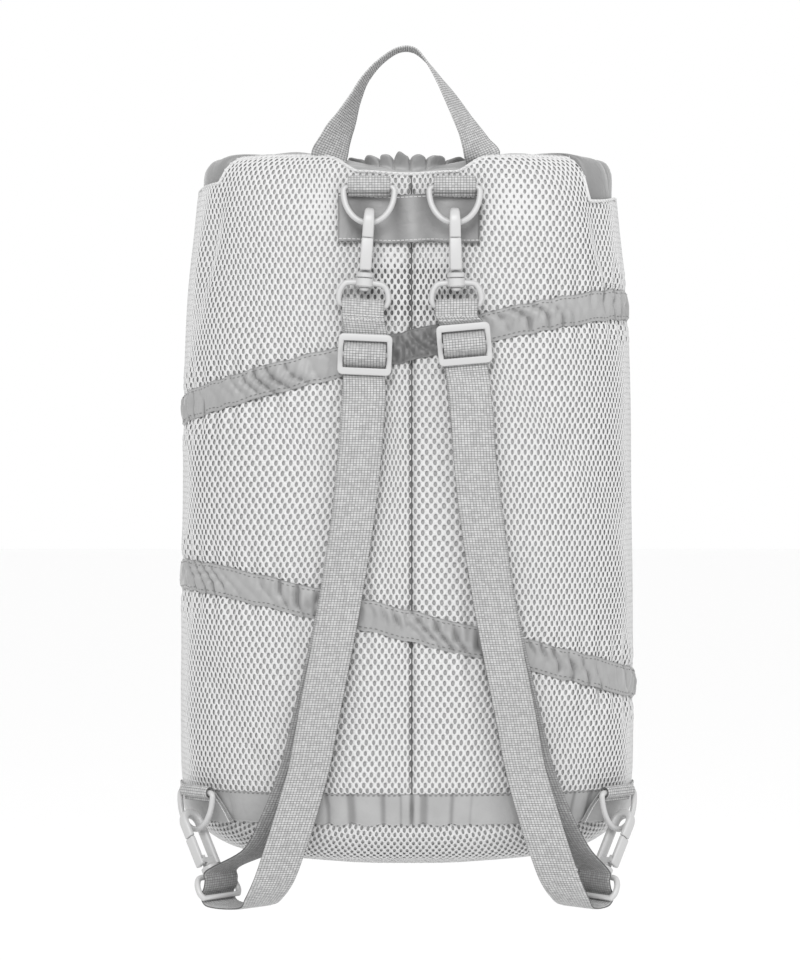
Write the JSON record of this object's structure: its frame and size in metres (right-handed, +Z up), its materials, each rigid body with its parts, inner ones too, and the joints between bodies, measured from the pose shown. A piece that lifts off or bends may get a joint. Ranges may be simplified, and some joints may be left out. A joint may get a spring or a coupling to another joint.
{
  "type": "mesh gym sack",
  "caption": "Tall mesh gym sack with a gathered mouth, slanting tapes, a twisted haul loop and shoulder straps that snap hooks clip to rings.",
  "frame": {"origin": "underside of the haul loop at its highest point, where the sack hangs", "axes": "+Z up, the strap side faces -Y, +X to the right when looking at the strap side"},
  "size_m": [0.3226, 0.2045, 0.5783],
  "materials": {
    "mesh": "knitted spacer mesh",
    "nylon": "woven nylon, slight sheen",
    "webbing": "fine ribbed webbing",
    "hardware": "matte off-white coating"
  },
  "bodies": {
    "sack": {"mesh_body": "mesh", "mesh_base": "mesh", "mouth_collar": "nylon", "upper_band": "nylon", "lower_band": "nylon", "base_band": "nylon", "top_patch": "nylon", "corner_tab_left": "nylon", "corner_tab_right": "nylon", "haul_loop": "webbing", "strap_left": "webbing", "strap_right": "webbing", "upper_ring_loop_left": "webbing", "upper_ring_loop_right": "webbing", "lower_ring_loop_left": "webbing", "lower_ring_loop_right": "webbing", "upper_dring_left": "hardware", "upper_dring_right": "hardware", "lower_dring_left": "hardware", "lower_dring_right": "hardware", "upper_bail_left": "hardware", "upper_bail_right": "hardware", "lower_bail_left": "hardware", "lower_bail_right": "hardware", "slider_left": "hardware", "slider_right": "hardware"},
    "upper_left_hook": {"upper_hook_left": "hardware"},
    "upper_left_gate": {"upper_gate_left": "hardware"},
    "upper_right_hook": {"upper_hook_right": "hardware"},
    "upper_right_gate": {"upper_gate_right": "hardware"},
    "lower_left_hook": {"lower_hook_left": "hardware"},
    "lower_left_gate": {"lower_gate_left": "hardware"},
    "lower_right_hook": {"lower_hook_right": "hardware"},
    "lower_right_gate": {"lower_gate_right": "hardware"}
  },
  "joints": [
    {"name": "upper_left_swivel", "type": "hinge", "parent": "sack", "child": "upper_left_hook", "pos_m": [-0.024, -0.02285, -0.15819], "axis": [0.0698, 0, 0.9976], "range_deg": [-20, 20]},
    {"name": "upper_left_gate_hinge", "type": "hinge", "parent": "upper_left_hook", "child": "upper_left_gate", "pos_m": [-0.02324, -0.02885, -0.14731], "axis": [-0.9976, 0, 0.0698], "range_deg": [0, 22], "stiffness_Nm_per_rad": 0.02, "springref_deg": -17.19},
    {"name": "upper_right_swivel", "type": "hinge", "parent": "sack", "child": "upper_right_hook", "pos_m": [0.03704, -0.02252, -0.15819], "axis": [-0.0209, 0, 0.9998], "range_deg": [-20, 20]},
    {"name": "upper_right_gate_hinge", "type": "hinge", "parent": "upper_right_hook", "child": "upper_right_gate", "pos_m": [0.03681, -0.02852, -0.1473], "axis": [-0.9998, 0, -0.0209], "range_deg": [0, 22], "stiffness_Nm_per_rad": 0.02, "springref_deg": -17.19},
    {"name": "lower_left_swivel", "type": "hinge", "parent": "sack", "child": "lower_left_hook", "pos_m": [-0.12638, -0.00186, -0.55649], "axis": [-0.3767, 0.3933, 0.8387], "range_deg": [-20, 20]},
    {"name": "lower_left_gate_hinge", "type": "hinge", "parent": "lower_left_hook", "child": "lower_left_gate", "pos_m": [-0.13482, -0.00172, -0.54735], "axis": [-0.5801, 0.6057, -0.5446], "range_deg": [0, 22], "stiffness_Nm_per_rad": 0.02, "springref_deg": -17.19},
    {"name": "lower_right_swivel", "type": "hinge", "parent": "sack", "child": "lower_right_hook", "pos_m": [0.13538, -0.00186, -0.55649], "axis": [0.3767, 0.3933, 0.8387], "range_deg": [-20, 20]},
    {"name": "lower_right_gate_hinge", "type": "hinge", "parent": "lower_right_hook", "child": "lower_right_gate", "pos_m": [0.14382, -0.00172, -0.54735], "axis": [-0.5801, -0.6057, 0.5446], "range_deg": [0, 22], "stiffness_Nm_per_rad": 0.02, "springref_deg": -17.19}
  ]
}
